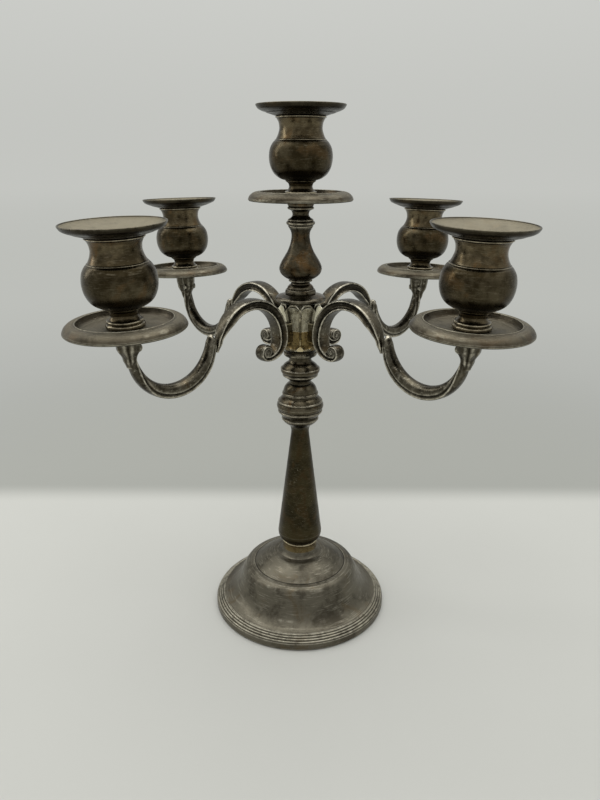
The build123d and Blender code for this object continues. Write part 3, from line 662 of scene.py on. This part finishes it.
def even_superellipse(half_u, half_w, power):
    """Evenly spaced points on a rounded section, with outward directions."""
    t = np.linspace(0, TAU, 721)[:-1]
    c, s = np.cos(t), np.sin(t)
    u = half_u * np.sign(c) * np.abs(c) ** (2 / power)
    w = half_w * np.sign(s) * np.abs(s) ** (2 / power)
    step = np.hypot(np.diff(u, append=u[:1]), np.diff(w, append=w[:1]))
    run = np.concatenate([[0], np.cumsum(step)])
    at = np.linspace(0, run[-1], SECTION_POINTS + 1)[:-1]
    u = np.interp(at, run, np.append(u, u[0]))
    w = np.interp(at, run, np.append(w, w[0]))
    du = np.roll(u, -1) - np.roll(u, 1)
    dw = np.roll(w, -1) - np.roll(w, 1)
    size = np.maximum(np.hypot(du, dw), 1e-9)
    return u, w, dw / size, -du / size


def cast_sweep(stations):
    """Shell through stations (centre, outward direction, half depth, half width, power, relief)."""
    verts, faces = [], []
    for (cx, cz), (ux, uz), half_u, half_w, power, relief in stations:
        u, w, nu, nw = even_superellipse(half_u, half_w, power)
        rise = relief(u, w, half_u, half_w) if relief else 0 * u
        u, w = u + rise * nu, w + rise * nw
        verts.extend((cx + ux * a, b, cz + uz * a) for a, b in zip(u, w))
    n = SECTION_POINTS
    for i in range(len(stations) - 1):
        for j in range(n):
            m = (j + 1) % n
            faces.append([i * n + j, i * n + m, (i + 1) * n + m, (i + 1) * n + j])
    faces.append(list(range(n))[::-1])
    faces.append([(len(stations) - 1) * n + j for j in range(n)])
    return verts, faces


def strap_relief(depth, rim):
    """Hollow channel between two rims on the side faces, and a slight crown on the outer face."""
    def relief(u, w, half_u, half_w):
        side = np.clip((np.abs(w) / half_w - 0.8) / 0.12, 0, 1)
        reach = np.maximum(half_u - rim, 0.2)
        hollow = np.clip(1 - (np.abs(u) / reach) ** 2, 0, 1) ** 0.7
        crown = 0.35 * np.clip(1 - (w / half_w) ** 2, 0, 1) * np.clip(np.abs(u) / half_u - 0.8, 0, 0.2) / 0.2
        return crown - depth * hollow * side
    return relief


def arm_relief(bead_at, bead_height, groove_depth):
    """Raised rim with a groove beside it on each side face; bead_at is a share of the half depth."""
    def relief(u, w, half_u, half_w):
        side = np.clip((np.abs(w) / half_w - 0.25) / 0.3, 0, 1)
        place = bead_at * half_u
        rim = bead_height * np.exp(-((u - place) / 0.62) ** 2)
        groove = groove_depth * np.exp(-((u - place + 1.45) / 0.7) ** 2)
        return (rim - groove) * side
    return relief


def on_circle(centre, radius, degrees):
    a = math.radians(degrees)
    return (centre[0] + radius * math.cos(a), centre[1] + radius * math.sin(a)), (math.cos(a), math.sin(a))


def blend(x, *stops):
    """Piecewise smooth value through (position, value) stops."""
    for (a, va), (b, vb) in zip(stops, stops[1:]):
        if x <= b:
            t = min(1.0, max(0.0, (x - a) / (b - a)))
            t = t * t * (3 - 2 * t)
            return va + (vb - va) * t
    return stops[-1][1]


ARCH_CENTRE, ARCH_R = (42.4, 205.8), 27.0
CURL_CENTRE, CURL_R = (28.6, 205.8), 13.2
EYE_CENTRE, EYE_R = (31.2, 197.9), 5.7
ARM_OUTER, ARM_OUTER_R = (99.0, 213.8), 29.3
ARM_INNER, ARM_INNER_R = (99.7, 217.0), 24.1


def scroll_stations():
    """From the tongue over the arch, down the curl and into the volute."""
    out = []
    for a in np.linspace(-2, 180, 130):
        half_u = blend(a, (-2, 0.6), (12, 1.4), (45, 2.9), (180, 3.25))
        half_w = blend(a, (-2, 1.3), (10, 2.6), (28, 3.9), (50, 4.6), (180, 5.2))
        depth = blend(a, (-2, 0.1), (30, 1.2), (60, 1.8), (180, 2.0))
        edge, way = on_circle(ARCH_CENTRE, ARCH_R, a)
        out.append((edge, way, half_u, half_w, 9, depth))
    for a in np.linspace(184, 286, 52):
        radius = blend(a, (184, CURL_R), (286, 13.95))
        half_u = blend(a, (184, 3.15), (286, 1.7))
        half_w = blend(a, (184, 5.2), (286, 4.0))
        edge, way = on_circle(CURL_CENTRE, radius, a)
        out.append((edge, way, half_u, half_w, 9, blend(a, (184, 2.0), (286, 1.1))))
    for a in np.linspace(292, 640, 100):
        radius = EYE_R - 2.9 * ((a - 292) / 348) ** 0.9
        half_u = blend(a, (292, 1.65), (400, 1.2), (640, 0.7))
        edge, way = on_circle(EYE_CENTRE, radius, a)
        out.append((edge, way, half_u, blend(a, (292, 4.0), (640, 3.6)), 5, 0.7))
    stations = []
    for edge, way, half_u, half_w, power, depth in out:
        centre = (edge[0] - way[0] * half_u, edge[1] - way[1] * half_u)
        stations.append((centre, way, half_u, half_w, power, strap_relief(depth, 0.85)))
    return stations


def arm_stations():
    out = []
    for a in np.linspace(178, 360, 190):
        outer, _ = on_circle(ARM_OUTER, ARM_OUTER_R, a)
        inner, _ = on_circle(ARM_INNER, ARM_INNER_R, a)
        way = (outer[0] - inner[0], outer[1] - inner[1])
        size = math.hypot(*way)
        half_u = size / 2 * blend(a, (178, 0.25), (182, 0.7), (192, 1.0), (360, 1.0))
        centre = ((outer[0] + inner[0]) / 2, (outer[1] + inner[1]) / 2)
        half_w = blend(a, (178, 1.4), (183, 2.9), (192, 3.5), (215, 4.1), (270, 4.4), (330, 4.1), (360, 3.2))
        bead_at = blend(a, (178, 0.72), (296, 0.80), (350, -0.35), (360, -0.45))
        height = blend(a, (178, 0.0), (192, 0.15), (225, 0.5), (360, 0.5))
        groove = blend(a, (178, 0.0), (186, 0.2), (198, 0.85), (290, 0.85), (330, 0.4), (360, 0.5))
        power = blend(a, (178, 2.1), (230, 2.5), (360, 2.2))
        out.append((centre, (way[0] / size, way[1] / size), half_u, half_w, power,
                    arm_relief(bead_at, height, groove)))
    return out


TILT = math.radians(2.5)
TIP_BASE = (127.5, 227.6)
TIP_AXIS = (math.sin(TILT), math.cos(TILT))
TIP_ROLL = (123.6, 219.0)


def leaf_relief(amount):
    """Leaf lobes: broad ribs, and one deep groove on each side of the outer lobe."""
    def relief(u, w, half_u, half_w):
        angle = np.arctan2(w / half_w, u / half_u)
        ribs = 0.22 * np.cos(9 * angle)
        away = np.abs(angle)
        cuts = np.exp(-((away - 1.05) / 0.16) ** 2) + 0.7 * np.exp(-((away - 2.0) / 0.14) ** 2)
        return amount * (ribs - 0.8 * cuts)
    return relief


def tip_stations():
    out = []
    for z in np.linspace(-20, 4.9, 60):
        centre = (TIP_BASE[0] + TIP_AXIS[0] * z, TIP_BASE[1] + TIP_AXIS[1] * z)
        half_u = blend(z, (-20, 2.2), (-15, 3.6), (-9, 6.3), (-5, 6.9), (1, 7.2), (4.9, 7.5))
        half_w = blend(z, (-20, 2.4), (-15, 3.9), (-9, 5.8), (-5, 6.4), (1, 7.0), (4.9, 7.4))
        amount = blend(z, (-20, 0.0), (-15, 0.5), (-9, 1.0), (-2, 1.0), (1, 0.2))
        out.append((centre, (1.0, 0.0), half_u, half_w, 2.2, leaf_relief(amount)))
    return out


def roll(centre, radius, half_width, eye):
    """Rolled scroll end across the branch: a barrel with a round eye in a shallow ring on each side."""
    half = [(0.0, half_width + eye), (radius * 0.28, half_width + 0.85 * eye),
            (radius * 0.5, half_width + 0.3 * eye), (radius * 0.6, half_width - 2.2 * eye),
            (radius * 0.7, half_width - 1.6 * eye),
            (radius * 0.82, half_width), (radius * 0.94, half_width - 0.12), (radius, half_width - 0.5)]
    profile = half + [(r, -y) for r, y in half[::-1]]
    verts, faces = [], []
    count = 40
    for i in range(count):
        c, s = math.cos(TAU * i / count), math.sin(TAU * i / count)
        verts.extend((centre[0] + r * c, y, centre[1] + r * s) for r, y in profile)
    n = len(profile)
    for i in range(count):
        k = (i + 1) % count
        for j in range(n - 1):
            faces.append([i * n + j, i * n + j + 1, k * n + j + 1, k * n + j])
    return verts, faces


def tenon_block():
    """Square end that enters the hub."""
    low, high = (8.6, -2.8, 200.6), (17.0, 2.8, 213.4)
    verts = [(x, y, z) for x in (low[0], high[0]) for y in (low[1], high[1]) for z in (low[2], high[2])]
    faces = [[0, 1, 3, 2], [4, 6, 7, 5], [0, 4, 5, 1], [2, 3, 7, 6], [0, 2, 6, 4], [1, 5, 7, 3]]
    return verts, faces


def joined(parts):
    verts, faces = [], []
    for v, f in parts:
        faces.extend([[i + len(verts) for i in one] for one in f])
        verts.extend(v)
    return verts, faces


def fuse(obj, voxel, passes):
    """Melts overlapping shells into one skin, as in a casting."""
    remesh = obj.modifiers.new("fuse", "REMESH")
    remesh.mode = "VOXEL"
    remesh.voxel_size = voxel * MM
    soften = obj.modifiers.new("soften", "SMOOTH")
    soften.factor = 0.5
    soften.iterations = passes
    bpy.context.view_layer.update()
    graph = bpy.context.evaluated_depsgraph_get()
    mesh = bpy.data.meshes.new_from_object(obj.evaluated_get(graph))
    obj.modifiers.clear()
    obj.data = mesh
    for face in mesh.polygons:
        face.use_smooth = True
    for label in ("edge", "crease"):
        if label in mesh.attributes:
            mesh.attributes.remove(mesh.attributes[label])
    mark_edges_and_hollows(mesh, spread=3, cavity_steps=36)
    return obj


CAST_VOXEL, CAST_PASSES = 0.34, 2
branch_parts = [cast_sweep(scroll_stations()), cast_sweep(arm_stations()), cast_sweep(tip_stations()),
                roll(EYE_CENTRE, 4.7, 2.7, 0.0), roll(EYE_CENTRE, 2.5, 3.9, 0.3),
                roll(TIP_ROLL, 2.3, 5.0, 0.2), tenon_block()]
first_branch = fuse(mesh_object("branch_1_cast", *joined(branch_parts)), CAST_VOXEL, CAST_PASSES)
for k in range(1, 5):
    obj = first_branch if k == 1 else copy_of(first_branch, "branch_%d_cast" % k)
    side = Vector(mounts["candle_%d" % k]["pos_m"])
    obj.matrix_world = Matrix.Rotation(math.atan2(side.y, side.x), 4, "Z")
    stand_in(obj, "branch_%d" % k, "branches", "arm_plate", arm_metal)

# ---------------------------------------------------------------- camera, floor and light
camera_data = bpy.data.cameras.new("camera")
camera = bpy.data.objects.new("camera", camera_data)
bpy.context.scene.collection.objects.link(camera)
camera_data.sensor_width = 36
camera_data.lens = 30.89
camera_data.clip_start = 0.01
camera_data.clip_end = 100
HEADING = Vector((0.6980, 0.7161, 0.0)).normalized()
PITCH = math.radians(19.85)
CAMERA_ROLL = math.radians(0.16)
camera.location = (-0.3072, -0.3150, 0.3165)
look = HEADING * math.cos(PITCH) - Vector((0, 0, 1)) * math.sin(PITCH)
camera.rotation_mode = "QUATERNION"
roll_turn = Matrix.Rotation(CAMERA_ROLL, 4, "Z").to_quaternion()
camera.rotation_quaternion = look.to_track_quat("-Z", "Y") @ roll_turn
bpy.context.scene.camera = camera


HORIZON = (0.55, 0.558, 0.53)
PAINTED_SHADE_START, PAINTED_SHADE_END = 0.146, 0.186


def floor_material():
    """Pale paper floor: bright near the object, painted shade past a soft line behind it in place of a
    backdrop fold, and a glow of painted light far away.
    """
    mat = bpy.data.materials.new("paper_sweep")
    mat.use_nodes = True
    nt = mat.node_tree
    shader = nt.nodes["Principled BSDF"]
    coords = nt.nodes.new("ShaderNodeTexCoord").outputs["Object"]
    split = nt.nodes.new("ShaderNodeSeparateXYZ")
    nt.links.new(coords, split.inputs[0])
    behind = math_node(nt, "ADD", math_node(nt, "MULTIPLY", split.outputs[0], HEADING.x),
                       math_node(nt, "MULTIPLY", split.outputs[1], HEADING.y))
    cloud = noise(nt, coords, 6, 3, 0.5)
    near = blend_colour(nt, cloud, (0.555, 0.56, 0.535), (0.585, 0.59, 0.565))
    # Painted shade: past a soft line behind the object the floor turns darker.
    colour = blend_colour(nt, ramp(nt, behind, PAINTED_SHADE_START, PAINTED_SHADE_END), near, (0.36, 0.368, 0.347))
    nt.links.new(colour, shader.inputs["Base Color"])
    shader.inputs["Roughness"].default_value = 0.75
    shader.inputs["Specular IOR Level"].default_value = 0.25
    far = nt.nodes.new("ShaderNodeVectorMath")
    far.operation = "LENGTH"
    nt.links.new(coords, far.inputs[0])
    # Painted light: far from the object the floor glows instead of being lit by the lamps.
    glow = nt.nodes.new("ShaderNodeEmission")
    middle_ground = ramp(nt, far.outputs["Value"], 0.3, 1.3)
    tone = blend_colour(nt, middle_ground, (0.435, 0.445, 0.42), (0.505, 0.515, 0.485))
    tone = blend_colour(nt, ramp(nt, far.outputs["Value"], 1.0, 7.0), tone, HORIZON)
    nt.links.new(tone, glow.inputs["Color"])
    mix = nt.nodes.new("ShaderNodeMixShader")
    nt.links.new(ramp(nt, far.outputs["Value"], 0.28, 0.75), mix.inputs[0])
    nt.links.new(shader.outputs[0], mix.inputs[1])
    nt.links.new(glow.outputs[0], mix.inputs[2])
    nt.links.new(mix.outputs[0], nt.nodes["Material Output"].inputs["Surface"])
    return mat


bpy.ops.mesh.primitive_circle_add(vertices=64, radius=12, fill_type="NGON", location=(0, 0, 0))
floor = bpy.context.object
floor.name = "floor"
floor.data.materials.append(floor_material())


def area_light(name, place, target, width, height, power, colour):
    data = bpy.data.lights.new(name, "AREA")
    data.shape = "RECTANGLE"
    data.size, data.size_y = width, height
    data.energy = power
    data.color = colour
    obj = bpy.data.objects.new(name, data)
    bpy.context.scene.collection.objects.link(obj)
    obj.location = place
    obj.rotation_mode = "QUATERNION"
    obj.rotation_quaternion = (Vector(target) - Vector(place)).to_track_quat("-Z", "Y")
    return obj


SIDE = Vector((HEADING.y, -HEADING.x, 0))
area_light("overhead", HEADING * 0.15 + Vector((0, 0, 1.35)), (0, 0, 0.1), 1.5, 1.0, 8.4, (1.0, 0.995, 0.97))
area_light("left_strip", HEADING * 0.2 - SIDE * 1.1 + Vector((0, 0, 0.8)), (0, 0, 0.2), 0.25, 0.9, 1.6,
           (1.0, 0.99, 0.96))

world = bpy.data.worlds.new("studio")
bpy.context.scene.world = world
world.use_nodes = True
wt = world.node_tree
background = wt.nodes["Background"]
direction = wt.nodes.new("ShaderNodeTexCoord").outputs["Generated"]
parts = wt.nodes.new("ShaderNodeSeparateXYZ")
wt.links.new(direction, parts.inputs[0])
front = math_node(wt, "ADD", math_node(wt, "MULTIPLY", parts.outputs[0], -HEADING.x),
                  math_node(wt, "MULTIPLY", parts.outputs[1], -HEADING.y))
above = ramp(wt, parts.outputs[2], 0.35, 0.95)
shade = blend_colour(wt, ramp(wt, front, -0.1, 0.75), (0.46, 0.465, 0.445), (0.43, 0.43, 0.41))
shade = blend_colour(wt, above, shade, (1.0, 1.0, 0.97))
backdrop = blend_colour(wt, ramp(wt, parts.outputs[2], 0.0, 0.3), HORIZON, (0.62, 0.628, 0.60))
seen = wt.nodes.new("ShaderNodeLightPath").outputs["Is Camera Ray"]
wt.links.new(blend_colour(wt, seen, shade, backdrop), background.inputs["Color"])
bpy.context.scene.view_settings.view_transform = "Standard"
